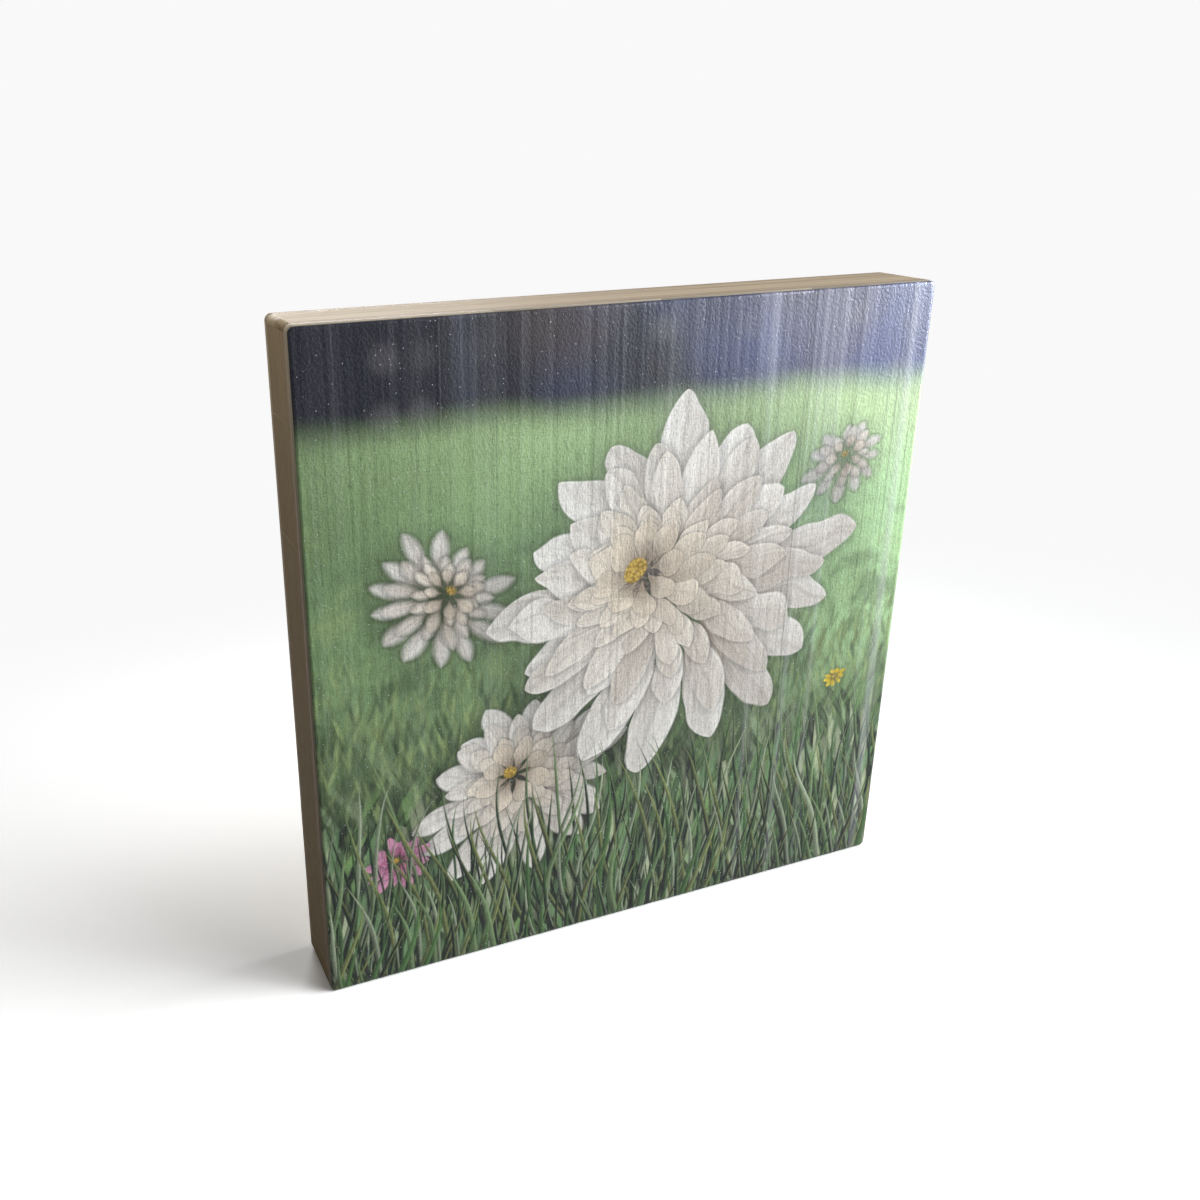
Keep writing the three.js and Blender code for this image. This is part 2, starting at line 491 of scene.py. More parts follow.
class GardenPicture:
    """The printed picture: cream flowers in a sunny lawn, before a dark hedge.

    It paints itself in a graph. Places in it run from 0 to 1, u across and v up.
    """

    def __init__(self, g: Graph, width: float, height: float) -> None:
        """Spreads the picture over the block's front, whose size is in metres."""
        x, _, z = g.split("Object")
        self.g = g
        self.width = width
        self.u, self.v = x / width + 0.5, z / height

    def plane(self, across: float = 1.0, up: float = 1.0, turn: float = 0.0) -> Signal:
        """The picture's plane as X and Y, in shares of its width, scaled, then turned."""
        scale = (across / self.width, 0.0, up / self.width)
        return self.g.place(scale, (across * 0.5, 0.0, 0.0), (UPRIGHT, 0.0, turn))

    def blade_group(self) -> NodeTree:
        """Makes the group that lays one row of grass blades over a colour."""
        g, (u, v, sway, seed, blades, root, height, lean, width, blur, below, shade, bright) = new_group(
            "grass_blades", "U V Sway Seed Blades Root Height Lean Width Blur", "Below Shade Bright")
        rise = v - root
        along = (u + rise * (lean + sway)) * blades + seed * SEED_SLIDE
        cell = along.floor()
        across = along - cell - 0.5
        chance, size, bend, lot = g.dice(cell + seed * SEED_SPREAD)
        rise = ((rise - (lot - 0.5) * height * 0.6) / (height * (size * 1.2 + 0.3))).most(0.0)
        centre = (bend - 0.5) * (rise * rise * 0.8 + rise * 0.2) + (size - 0.5) * 0.16
        half = width * blades * 0.5 * (1.0 - rise ** 1.8).most(0.0) * (size * 0.8 + 0.6)
        off = across - centre
        blur = blur * blades
        mask = (half - abs(off)).step(blur * -0.5, blur) * rise.step(1.0, 0.94)
        side = (off / half.most(0.001)).step(-0.75, 0.75)
        fold = abs(off / half.most(0.001)).step(0.0, 0.3, 0.12, 0.0)
        tone = (side * 0.5 + chance * 0.7 + rise * 0.5 - 0.48 - fold).most(0.0)
        return close_group(g, g.mix(below, g.mix(shade, bright, tone), mask))

    def petal_group(self) -> NodeTree:
        """Makes the group that lays one ring of petals, with its soft shadow, over a colour."""
        g, (x, y, petals, outer, inner, turn, seed, blur, vein, below, shade, bright) = new_group(
            "petal_ring", "X Y Petals Outer Inner Turn Seed Blur Vein", "Below Shade Bright")
        far = g.math("SQRT", x * x + y * y)
        angle = g.math("ARCTAN2", y, x) / FULL_TURN * petals + turn + petals
        cell = angle.floor()
        chance, size, bend, lot = g.dice(g.math("MODULO", cell, petals) + seed * SEED_SPREAD)
        reach = (far - inner) / (outer * (size * 0.26 + 0.84) - inner)
        across = angle - cell - 0.5 + (bend - 0.5) * 0.4 * reach
        tip = (reach.most(0.42) - 0.42) / 0.58
        swell = reach.step(0.0, 0.6, 0.24, 0.56) * (1.0 - tip * tip).most(0.0) ** 0.7
        edge = (swell - abs(across)) * far / petals * FULL_TURN
        mask = edge.step(0.0, blur) * reach.step(-0.02, 0.02)
        shadow = edge.step(outer * -0.07, outer * 0.02) * reach.step(1.1, 0.95) * 0.32
        crease = abs(across + (bend - 0.5) * 0.1).step(0.0, 0.07, 0.86, 1.0)
        rim = edge.step(0.0, outer * 0.05, 1.1, 0.94)
        hollow = reach.step(0.05, 0.8, 0.2, 1.0)
        lit = across.step(-0.5, 0.5, 0.76, 1.08) * ((y - x) / outer * 0.12 + 0.98)
        tone = crease * rim * hollow * lit * ((chance + lot) * 0.17 + 0.75) + (vein - 0.5) * 0.4
        below = g.mix(below, srgb(34, 28, 20), shadow)
        return close_group(g, g.mix(below, g.mix(shade, bright, tone.most(0.0)), mask))

    def backdrop(self) -> Signal:
        """Paints the dark hedge and the sunny lawn, both out of focus.

        Returns:
            The colour behind everything else.
        """
        g, u, v = self.g, self.u, self.v
        plane = self.plane()
        drift = g.noise(plane, scale=3.0)
        clump = g.noise(self.plane(9.0, 13.0), 3.0, 0.6)
        glow = (u * 1.15 + g.noise(plane, 1.0, scale=6.0) - 0.92).most(0.0)
        hedge = g.mix(srgb(8, 12, 26), srgb(72, 86, 146), glow)
        hedge = g.mix(hedge, srgb(92, 76, 72), g.noise(plane, 0.0, scale=4.3).step(0.52, 0.7) * 0.36)
        gap, tone = g.spots(plane, 12.0, 0.55)
        light = gap.step(0.36, 0.1) * tone.step(0.5, 1.0)
        hedge = g.mix(hedge, srgb(140, 136, 142), light * 0.24)
        for centre, half, strength in ((0.71, 0.014, 0.36), (0.235, 0.01, 0.12)):
            trunk = abs(u + (v - 0.9) * 0.06 - centre).step(half * 2.3, half * 0.2)
            hedge = g.mix(hedge, srgb(176, 184, 214), trunk * strength * drift.step(0.3, 0.6, 0.5, 1.0))
        lawn = g.mix(srgb(118, 145, 100), srgb(204, 248, 182), (u * 0.95 + drift * 0.7 - 0.34).most(0.0))
        lawn = g.mix(lawn, srgb(208, 232, 168), v.step(0.66, 0.86) * (u * 0.6 + 0.1))
        lawn = g.mix(lawn, srgb(22, 34, 24), v.step(0.54, 0.2) * 0.94)
        lawn = g.mix(lawn, srgb(58, 80, 48), clump.step(0.52, 0.34) * v.step(0.8, 0.5) * 0.5)
        tuft = clump.step(0.52, 0.7) * v.step(0.84, 0.6) * v.step(0.2, 0.5)
        lawn = g.mix(lawn, srgb(164, 182, 122), tuft * 0.4)
        return g.mix(lawn, hedge, (v + (drift - 0.5) * 0.06).step(0.825, 0.89))

    def thatches(self) -> List[Thatch]:
        """Lists the mats of grass from back to front: soft far ones, then sharper near ones."""
        far = [
            Thatch(turn=turn, blades=74.0, rows=13.0, seed=3.7 * n, band=(0.62, 0.42), edge=0.4, strength=0.6,
                   shade=srgb(34, 52, 32), bright=srgb(168, 190, 126))
            for n, turn in enumerate((-24.0, 17.0, -6.0))
        ]
        lights = (srgb(164, 190, 146), srgb(130, 168, 104), srgb(196, 208, 170), srgb(120, 158, 110))
        return far + [
            Thatch(turn=turn, blades=58.0, rows=7.0, seed=20.0 + 5.3 * n, band=(0.46 - 0.05 * n, 0.24),
                   edge=0.16, strength=0.88, shade=srgb(8, 17, 11), bright=lights[n])
            for n, turn in enumerate((33.0, -31.0, 9.0, -12.0))
        ]

    def turf(self) -> List[Turf]:
        """Lists the rows of single blades in front of the flowers, from back to front."""
        rows, count = [], 10
        lights = (srgb(150, 180, 126), srgb(96, 138, 80), srgb(196, 212, 178), srgb(160, 172, 108))
        for n in range(count):
            share = n / (count - 1)
            rows.append(Turf(
                seed=n + 1.0, blades=40.0 - 14.0 * share, root=0.21 - 0.29 * share,
                height=0.12 + 0.02 * share, lean=0.3 * math.sin(n * 2.4 + 0.7),
                width=0.0052 + 0.0052 * share, blur=0.0016 - 0.0003 * share,
                shade=blend(srgb(14, 28, 18), srgb(5, 12, 8), share), bright=lights[n % len(lights)],
            ))
        return rows

    def blooms(self) -> List[Bloom]:
        """Lists the flower heads from back to front: four cream ones, a pink one and a yellow one."""
        return [
            Bloom((0.865, 0.735), 0.078, 0.3, (0.0, 0.004), (11, 10, 7), 31.0, 0.007, halo=0.15),
            Bloom((0.19, 0.61), 0.12, -0.5, (0.002, 0.006), (14, 13, 11, 8), 21.0, 0.008,
                  squash=0.82, shrink=0.74, heart=0.1, halo=0.3),
            Bloom((0.32, 0.29), 0.18, 0.5, (-0.002, 0.008), (15, 15, 13, 11, 8), 61.0, 0.0035,
                  squash=0.8, shrink=0.78, heart=0.08),
            Bloom((0.58, 0.57), 0.32, 0.35, (-0.008, 0.011), (17, 17, 16, 15, 13, 11, 8), 11.0, 0.0022,
                  squash=0.9, shrink=0.8, heart=0.06),
            Bloom((0.115, 0.2), 0.058, 0.6, (0.0, 0.003), (12, 11, 8), 41.0, 0.002,
                  heart=0.13, shade=srgb(92, 36, 58), outer=srgb(232, 170, 200), inner=srgb(208, 118, 160)),
            Bloom((0.89, 0.36), 0.023, 0.2, (0.0, 0.001), (9, 7), 51.0, 0.0015, squash=0.8, heart=0.25,
                  halo=0.2, shade=srgb(150, 120, 30), outer=srgb(244, 226, 84), inner=srgb(226, 184, 44)),
        ]

    def lay_thatch(self, colour: Signal) -> Signal:
        """Lays the mats of grass over a colour, from back to front, and returns the new colour."""
        g = self.g
        for mat in self.thatches():
            turned = self.plane(turn=-math.radians(mat.turn))
            gap, tone = g.spots(g.remap(turned, (mat.blades, mat.rows, 1.0), (mat.seed, mat.seed, 0.0)), 1.0)
            blade = (0.46 - gap).step(0.0, mat.edge) * self.v.step(*mat.band) * mat.strength
            lit = tone - 0.12 + (0.33 - gap) * 0.9
            colour = g.mix(colour, g.mix(mat.shade, mat.bright, lit.most(0.0)), blade)
        return colour

    def lay_turf(self, colour: Signal, sway: Signal) -> Signal:
        """Lays the rows of single blades over a colour, from back to front, and returns the new colour."""
        tree = self.blade_group()
        for row in self.turf():
            values = {name.capitalize(): value for name, value in asdict(row).items()}
            colour = self.g.group(tree, U=self.u, V=self.v, Sway=sway, Below=colour, **values)
        return colour

    def lay_bloom(self, colour: Signal, wave: Signal, tree: NodeTree, bloom: Bloom) -> Signal:
        """Lays one flower head over a colour, ring by ring.

        Args:
            colour: The colour below.
            wave: Slow noise about 0 that bends the petals.
            tree: The group that lays one ring of petals.
            bloom: The flower head.

        Returns:
            The new colour.
        """
        g = self.g
        turn, flat = math.cos(bloom.tilt), math.sin(bloom.tilt)
        across, up = self.u - bloom.centre[0], self.v - bloom.centre[1]
        wobble = wave * (bloom.radius * 0.16)
        x = across * turn + up * flat + wobble
        y = (up * turn - across * flat) / bloom.squash + wobble
        far = g.math("SQRT", x * x + y * y)
        vein = g.streaks(g.math("ARCTAN2", y, x) * 22.0 + far * 9.0 + bloom.seed)
        halo = far.step(bloom.radius * 1.25, bloom.radius * 0.8) * bloom.halo
        colour = g.mix(colour, srgb(18, 26, 16), halo)
        last = len(bloom.petals)
        for ring, petals in enumerate(bloom.petals):
            outer = bloom.radius * bloom.shrink ** ring
            colour = g.group(
                tree, X=x - bloom.lift[0] * ring, Y=y - bloom.lift[1] * ring, Petals=float(petals),
                Outer=outer, Inner=outer * 0.16, Turn=0.5 * (ring % 2) + 0.13 * ring, Seed=bloom.seed + ring,
                Blur=bloom.blur * (1.8 - ring / last), Vein=vein, Below=colour, Shade=bloom.shade,
                Bright=blend(bloom.outer, bloom.inner, ring / last),
            )
        heart = bloom.radius * bloom.heart
        x, y = x - bloom.lift[0] * last, y - bloom.lift[1] * last
        far = g.math("SQRT", x * x + y * y)
        gap, tone = g.spots(self.plane(), 1.0 / (heart * 0.32))
        grain = gap.step(0.1, 0.7, 1.0, 0.35) * (tone * 0.4 + 0.7)
        seeds = g.mix(srgb(110, 78, 26), srgb(228, 194, 92), grain)
        return g.mix(colour, seeds, far.step(heart, heart - bloom.blur - 0.002))

    def paint(self) -> Signal:
        """Paints the whole picture from back to front, and returns its colour."""
        sway = (self.g.noise(self.plane(), 0.0, scale=4.0) - 0.5) * 0.8
        wave = self.g.noise(self.plane(), 1.0, scale=9.5) - 0.5
        petals = self.petal_group()
        colour = self.lay_thatch(self.backdrop())
        for bloom in self.blooms():
            colour = self.lay_bloom(colour, wave, petals, bloom)
        return self.lay_turf(colour, sway)


@dataclass(frozen=True)
class Print(Finish):
    """The printed picture with its satin clear coat, over wood whose grain and splices show through.

    Lengths are in metres. Edge is how far from the block's outline the ink ends. Seams holds how dark the gap
    is at each splice, and how bright the painted highlight on the ridge beside it.
    """

    name: str
    width: float
    height: float
    splices: Tuple[float, ...]
    edge: float
    seams: Sequence[Pair] = ((0.14, 0.0), (0.18, 0.04), (0.32, 0.22))
    gap: Pair = (0.34 * MM, 0.05 * MM)
    ridge: float = 0.6 * MM
    dip: float = 0.9 * MM
    wear: float = 0.34 * MM

    def constants(self) -> dict:
        """The clear coat, which is smoother than the ink under it."""
        return {"Specular IOR Level": 0.13, "Coat Weight": 0.11, "Coat Roughness": 0.24, "Coat IOR": 1.5}

    def paint(self, g: Graph) -> Surface:
        """Works out the picture, then grain, splices, specks of dust and a darkened, ragged outer edge. Its
        colour also holds painted shade and highlights along the crinkled relief, a painted highlight beside
        some splices, and a painted sheen in upright bands towards the right.
        """
        x, _, z = g.split("Object")
        colour = GardenPicture(g, self.width, self.height).paint()
        dash = g.cloud((3400.0, 0.0, 360.0), 2.0, 0.6)
        weave = g.cloud((420.0, 0.0, 3400.0), 1.0)
        grit = g.cloud((4600.0, 0.0, 3600.0), 1.0)
        streak = g.cloud((1100.0, 0.0, 11.0), 3.0, 0.6)
        band = g.cloud((260.0, 0.0, 2.6), 2.0, 0.55)
        crinkle = g.cloud((1650.0, 0.0, 1250.0), 2.0, 0.6, (0.0, 0.5, 0.0))
        # Painted shade: a thin dark line along one level of the crinkle noise stands in for the shaded sides
        # of the crinkled relief.
        dark = abs(crinkle - 0.455).step(0.04, 0.0)
        # Thin mixes dark flecks from dashes, weave, grit and grain streaks with the painted shade lines of
        # the crinkle.
        thin = dash.step(0.58, 0.3) * 0.22 + weave.step(0.5, 0.25) * 0.18 + grit.step(0.46, 0.2) * 0.24
        thin = thin + dark * 0.12 + streak.step(0.5, 0.28) * 0.2
        colour = g.mix(colour, srgb(24, 24, 30), thin)
        # Painted highlight: a thin pale line along another level of the crinkle noise stands in for the lit
        # sides of the relief.
        light = abs(crinkle - 0.535).step(0.04, 0.0)
        # Pale flecks from dashes, grit and streaks, plus the painted highlight lines of the crinkle and a
        # painted sheen.
        pale_flecks_and_painted_sheen = light * 0.035 + dash.step(0.6, 0.8) * 0.07 + grit.step(0.64, 0.8) * 0.07
        pale_flecks_and_painted_sheen = pale_flecks_and_painted_sheen + streak.step(0.58, 0.75) * 0.05
        # Painted sheen: whitish upright bands that grow stronger towards the right of the face.
        pale_flecks_and_painted_sheen = pale_flecks_and_painted_sheen + band.step(0.52, 0.75) * (x / self.width + 0.5).step(0.55, 0.95, 0.03, 0.26)
        colour = g.mix(colour, srgb(226, 226, 236), pale_flecks_and_painted_sheen)
        sag = None
        for splice, (gap, glint) in zip(self.splices, self.seams):
            off = abs(x - splice)
            colour = g.mix(colour, srgb(30, 28, 32), off.step(*self.gap) * (dash * 0.8 + 0.4) * gap)
            # Painted highlight: a bright line beside some splices, where the ridge beside the gap would catch
            # the light.
            if glint:
                beside = abs(x - splice - self.ridge).step(self.ridge / 2, 0.0)
                colour = g.mix(colour, srgb(236, 236, 238), beside * (streak * 0.8 + 0.2) * glint)
            dip = off.step(self.dip, 0.0)
            sag = dip if sag is None else sag + dip
        gap, chance = g.spots(g.place((1050.0, 0.0, 1050.0), turn=(UPRIGHT, 0.0, 0.0)), 1.0)
        colour = g.mix(colour, srgb(214, 218, 226), gap.step(0.13, 0.05) * chance.step(1.0, 1.2) * 1.2)
        # Darkens the outermost strip of the print, along a line that noise makes ragged.
        edge_noise = g.cloud((420.0, 420.0, 420.0), 3.0, 0.65) * self.wear
        half, middle = self.width / 2, self.height / 2
        rim = (abs(x) - (half - self.edge)).most(abs(z - middle) - (middle - self.edge))
        colour = g.mix(colour, srgb(84, 78, 70), (rim + edge_noise).step(0.14 * MM, 0.26 * MM) * 0.6)
        height = band * 260e-6 + crinkle * 95e-6 + streak * 13e-6 + dash * 8e-6 - sag * 8e-6
        return Surface(colour, band * 0.3 + streak * 0.12 + 0.2, height)


@dataclass(frozen=True)
class Rounding:
    """How the block's corners and edges are sanded, in metres, and in facets to each."""

    corner: float = 1.5 * MM
    front: float = 0.9 * MM
    back: float = 0.6 * MM
    joint: float = 0.07 * MM
    corner_facets: int = 12
    ease_facets: int = 9


def deselect() -> None:
    """Leaves nothing selected."""
    bpy.ops.object.select_all(action="DESELECT")


class Work:
    """A piece that is shaped with Blender's own tools."""

    NEAR = 1e-6
    MERGE = 1e-7
    FLAT = 0.9999
    CHIP_FACETS = 2

    def __init__(self, piece: Object, name: str) -> None:
        """Takes up an object, and names it."""
        self.piece = piece
        piece.name = piece.data.name = name

    @classmethod
    def slab(cls, name: str, low: Vector, high: Vector) -> "Work":
        """Adds a block at its size and place, with its object at the origin."""
        deselect()
        bpy.ops.mesh.primitive_cube_add(size=1.0, location=(low + high) / 2)
        bpy.context.object.scale = high - low
        bpy.ops.object.transform_apply(location=True, rotation=True, scale=True)
        return cls(bpy.context.object, name)

    def copy(self, name: str) -> "Work":
        """Copies the piece with its own mesh."""
        deselect()
        made = self.piece.copy()
        made.data = self.piece.data.copy()
        bpy.context.collection.objects.link(made)
        return Work(made, name)

    @contextmanager
    def editing(self) -> Iterator[None]:
        """Opens the piece in edit mode, alone, and closes it again."""
        deselect()
        bpy.context.view_layer.objects.active = self.piece
        self.piece.select_set(True)
        bpy.ops.object.mode_set(mode="EDIT")
        yield
        bpy.ops.object.mode_set(mode="OBJECT")

    def pick(self, kind: str, test: Test) -> None:
        """Selects by place or direction what an operator then acts on, in edit mode.

        Args:
            kind: The elements to look through: VERT, EDGE or FACE.
            test: Says of each element whether it is wanted.
        """
        bpy.ops.mesh.select_mode(type=kind)
        bpy.ops.mesh.select_all(action="DESELECT")
        shape = bmesh.from_edit_mesh(self.piece.data)
        for element in {"VERT": shape.verts, "EDGE": shape.edges, "FACE": shape.faces}[kind]:
            if test(element):
                element.select_set(True)
        bmesh.update_edit_mesh(self.piece.data)

    def bevel(self, test: Test, radius: float, facets: int) -> None:
        """Rounds the edges that pass a test."""
        with self.editing():
            self.pick("EDGE", test)
            bpy.ops.mesh.bevel(offset=radius, segments=facets, affect="EDGES", clamp_overlap=False)

    def round_corners(self, radius: float, facets: int) -> None:
        """Rounds the four edges that run from front to back."""
        self.bevel(lambda e: abs(e.verts[0].co.y - e.verts[1].co.y) > self.NEAR, radius, facets)

    def ease(self, plane: float, radius: float, facets: int, axis: int = 1) -> None:
        """Rounds every edge that lies in a plane.

        Args:
            plane: Where the plane lies along its axis.
            radius: The radius of the round.
            facets: How many facets the round has.
            axis: The axis that the plane is square to: 0 for X, 1 for Y and 2 for Z.
        """
        self.bevel(lambda e: all(abs(v.co[axis] - plane) < self.NEAR for v in e.verts), radius, facets)

    def cut(self, axis: int, place: float, **options: object) -> None:
        """Cuts along a plane that is square to an axis, with the options of Blender's tool for it."""
        normal = tuple(float(n == axis) for n in range(3))
        point = tuple(place * n for n in normal)
        with self.editing():
            bpy.ops.mesh.select_all(action="SELECT")
            bpy.ops.mesh.bisect(plane_co=point, plane_no=normal, threshold=self.MERGE, **options)

    def saw(self, axis: int, low: Optional[float], high: Optional[float], ease: float) -> None:
        """Keeps what lies between two saw cuts, and breaks the sharp edges that they leave.

        Args:
            axis: The axis that the cuts are square to: 0 for X and 2 for Z.
            low: Where the lower cut lies, or None for no cut.
            high: Where the upper cut lies, or None for no cut.
            ease: The width of the broken edge.
        """
        for place, below in ((low, True), (high, False)):
            if place is not None:
                self.cut(axis, place, use_fill=True, clear_inner=below, clear_outer=not below)
                self.ease(place, ease, self.CHIP_FACETS, axis)

    def score(self, places: Sequence[float], half: float, depth: float) -> None:
        """Presses a shallow upright groove into a thin skin at each place along X."""
        for place in places:
            for side in (-half, 0.0, half):
                self.cut(0, place + side)
            with self.editing():
                self.pick("VERT", lambda v: abs(v.co.x - place) < self.NEAR)
                bpy.ops.transform.translate(value=(0.0, depth, 0.0))

    def polish(self) -> None:
        """Shades the rounds smooth and leaves the flats flat, with all faces outwards."""
        with self.editing():
            bpy.ops.mesh.select_all(action="SELECT")
            bpy.ops.mesh.remove_doubles(threshold=self.MERGE)
            bpy.ops.mesh.normals_make_consistent(inside=False)
            bpy.ops.mesh.faces_shade_smooth()
            self.pick("FACE", lambda f: max(abs(c) for c in f.normal) > self.FLAT)
            bpy.ops.mesh.faces_shade_flat()


class SubAssembly:
    """Pieces of the block that are modelled and dressed together."""

    slot: str

    def place(self, work: Work, material: Material, *nodes: str) -> None:
        """Gives a finished piece its material, and its place in the frame.

        Args:
            work: The finished piece.
            material: Its finish.
            *nodes: The nodes of the frame that it stands for.
        """
        work.polish()
        piece = work.piece
        piece.data.materials.append(material)
        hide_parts(*nodes)
        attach(piece, BODY)
        LOG.info("%s: %d faces, for %s", piece.name, len(piece.data.polygons), ", ".join(nodes))


def nodes_named(start: str) -> List[str]:
    """Names the frame's nodes that start with a word, in order."""
    return sorted(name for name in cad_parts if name.startswith(start))


def joints(names: Sequence[str], axis: int) -> Tuple[float, ...]:
    """Finds where neighbouring nodes meet along an axis."""
    lows = sorted(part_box(name)[0][axis] for name in names)
    return tuple(lows[1:])


def whole(names: Sequence[str]) -> Tuple[Vector, Vector]:
    """Finds the box that holds several nodes."""
    boxes = [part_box(name) for name in names]
    low = Vector(min(box[0][n] for box in boxes) for n in range(3))
    high = Vector(max(box[1][n] for box in boxes) for n in range(3))
    return low, high


@dataclass
class Layer(SubAssembly):
    """A layer of the board: one sheet with round corners, sawn into strips along an axis."""

    nodes: Sequence[str]
    name: str
    slot: str
    finish: Finish
    rounding: Rounding
    axis: int = 0
    eased: Optional[float] = None
    ease: float = 0.0

    def model(self) -> Work:
        """Models the whole sheet with its round corners and its sanded edge."""
        sheet = Work.slab(self.name, *whole(self.nodes))
        sheet.round_corners(self.rounding.corner, self.rounding.corner_facets)
        if self.eased is not None:
            sheet.ease(self.eased, self.ease, self.rounding.ease_facets)
        return sheet

    def build(self) -> None:
        """Saws the sheet into its strips, and puts each one in its place."""
        sheet, material = self.model(), self.finish.material()
        low, high = (corner[self.axis] for corner in whole(self.nodes))
        for n, node in enumerate(self.nodes):
            start, end = (corner[self.axis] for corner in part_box(node))
            work = sheet.copy(f"{self.name}_{n + 1}" if len(self.nodes) > 1 else f"{self.name}_piece")
            work.saw(
                self.axis,
                start if start > low + Work.NEAR else None,
                end if end < high - Work.NEAR else None,
                self.rounding.joint,
            )
            self.place(work, material, node)
        bpy.data.objects.remove(sheet.piece)


@dataclass
class Film(SubAssembly):
    """A thin skin over the front that wraps part of the way round the sanded edge.

    Wrap is in degrees from the face. The skin reaches from front to back, two places along Y, and the round
    that it follows has its centre at the depth of the veneer's sanded edge.
    """

    nodes: Sequence[str]
    name: str
    slot: str
    finish: Finish
    rounding: Rounding
    front: float
    back: float
    wood: float
    wrap: float
    splices: Sequence[float]
    groove: float = 0.22 * MM
    sag: float = 0.014 * MM

    def build(self) -> None:
        """Models the skin from a rounded block whose sides and back are taken off."""
        proud = self.wood - self.front
        low, high = CAD_BOX
        reach = Vector((proud, 0.0, proud))
        low = Vector((low.x, self.front, low.z)) - reach
        high = Vector((high.x, self.wood + 2 * self.rounding.front, high.z)) + reach
        work = Work.slab(self.name, low, high)
        work.round_corners(self.rounding.corner + proud, self.rounding.corner_facets)
        work.ease(self.front, self.rounding.front + proud, self.rounding.ease_facets)
        limit = math.cos(math.radians(self.wrap))
        with work.editing():
            work.pick("FACE", lambda f: -f.normal.y < limit)
            bpy.ops.mesh.delete(type="FACE")
        work.score(self.splices, self.groove, self.sag)
        deselect()
        bpy.context.view_layer.objects.active = work.piece
        wall = work.piece.modifiers.new("thickness", "SOLIDIFY")
        wall.thickness = self.back - self.front
        wall.offset = -1.0
        bpy.ops.object.modifier_apply(modifier=wall.name)
        self.place(work, self.finish.material(), *self.nodes)


@dataclass(frozen=True)
class Softbox:
    """A lamp with a soft front, placed round the block.

    Bearing is in degrees to the right of straight ahead, and rise in degrees up. Lengths are in metres, and
    power is in watts. A glint only shows in glossy surfaces, and lights nothing.
    """

    name: str
    bearing: float
    rise: float
    distance: float
    size: Pair
    power: float
    colour: Colour = (1.0, 1.0, 1.0)
    glint: bool = False

    def build(self, target: Vector) -> None:
        """Sets the lamp up so that it faces the target."""
        bearing, rise = math.radians(self.bearing), math.radians(self.rise)
        ahead = math.cos(rise)
        away = Vector((math.sin(bearing) * ahead, -math.cos(bearing) * ahead, math.sin(rise)))
        data = bpy.data.lights.new(self.name, "AREA")
        data.shape = "RECTANGLE"
        data.size, data.size_y = self.size
        data.energy, data.color = self.power, self.colour
        lamp = bpy.data.objects.new(self.name, data)
        lamp.location = target + away * self.distance
        lamp.rotation_euler = away.to_track_quat("Z", "Y").to_euler()
        lamp.visible_camera = False
        lamp.visible_diffuse = not self.glint
        bpy.context.scene.collection.objects.link(lamp)


